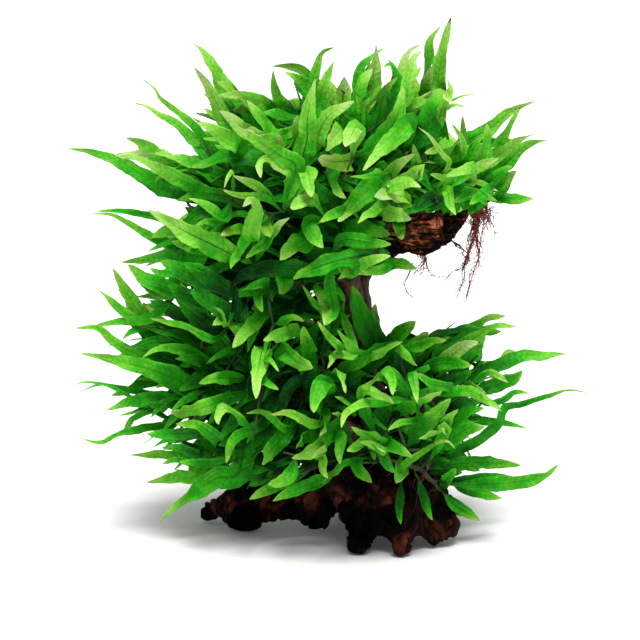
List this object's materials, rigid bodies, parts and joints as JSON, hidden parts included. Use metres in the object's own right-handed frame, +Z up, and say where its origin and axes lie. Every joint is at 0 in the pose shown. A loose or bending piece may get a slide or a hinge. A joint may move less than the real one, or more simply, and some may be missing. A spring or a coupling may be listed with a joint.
{
  "type": "java fern on driftwood",
  "caption": "Branched driftwood stump overgrown by a bushy aquatic fern with creeping rhizomes, long pointed leaves and hanging rootlets, standing on its root feet.",
  "frame": {"origin": "middle of the part's box, on the plane that the driftwood's feet are cut flat at", "axes": "+Z up, -Y towards the viewer of the picture, +X towards the arm with the hanging roots"},
  "size_m": [0.3798, 0.2458, 0.3972],
  "materials": {
    "driftwood": "matt, damp, dark red-brown",
    "fern": "satin green leaves on a brown-green stem",
    "leaf": "satin green, darker midrib",
    "root": "matt reddish-brown fibre"
  },
  "bodies": {
    "root": {"driftwood_arm": "driftwood", "driftwood_back_limb": "driftwood", "driftwood_back_root": "driftwood", "driftwood_crown_limb": "driftwood", "driftwood_front_limb": "driftwood", "driftwood_left_root": "driftwood", "driftwood_lower_left_limb": "driftwood", "driftwood_lower_right_limb": "driftwood", "driftwood_neck_limb": "driftwood", "driftwood_right_root": "driftwood", "driftwood_stock": "driftwood", "driftwood_trunk": "driftwood", "driftwood_upper_left_limb": "driftwood", "leaf_arm_1": "leaf", "leaf_arm_2": "leaf", "leaf_arm_3": "leaf", "leaf_arm_4": "leaf", "leaf_crown_1": "leaf", "leaf_crown_2": "leaf", "leaf_crown_3": "leaf", "leaf_crown_4": "leaf", "leaf_crown_5": "leaf", "leaf_crown_6": "leaf", "leaf_crown_7": "leaf", "leaf_crown_8": "leaf", "leaf_lower_left_1": "leaf", "leaf_lower_left_2": "leaf", "leaf_lower_left_3": "leaf", "leaf_lower_left_4": "leaf", "leaf_lower_left_5": "leaf", "leaf_lower_left_6": "leaf", "leaf_lower_right_1": "leaf", "leaf_lower_right_2": "leaf", "leaf_lower_right_3": "leaf", "leaf_lower_right_4": "leaf", "leaf_lower_right_5": "leaf", "leaf_lower_right_6": "leaf", "leaf_neck_1": "leaf", "leaf_neck_2": "leaf", "leaf_neck_3": "leaf", "leaf_upper_left_1": "leaf", "leaf_upper_left_2": "leaf", "leaf_upper_left_3": "leaf", "leaf_upper_left_4": "leaf", "leaf_upper_left_5": "leaf", "leaf_upper_left_6": "leaf", "leaf_upper_left_7": "leaf", "rhizome_arm": "fern", "rhizome_back": "fern", "rhizome_crown_back": "fern", "rhizome_crown_front": "fern", "rhizome_front": "fern", "rhizome_lower_left": "fern", "rhizome_lower_right": "fern", "rhizome_neck": "fern", "rhizome_stock": "fern", "rhizome_trunk": "fern", "rhizome_upper_left": "fern", "roots_arm_tip": "root", "roots_under_arm": "root"}
  },
  "joints": []
}
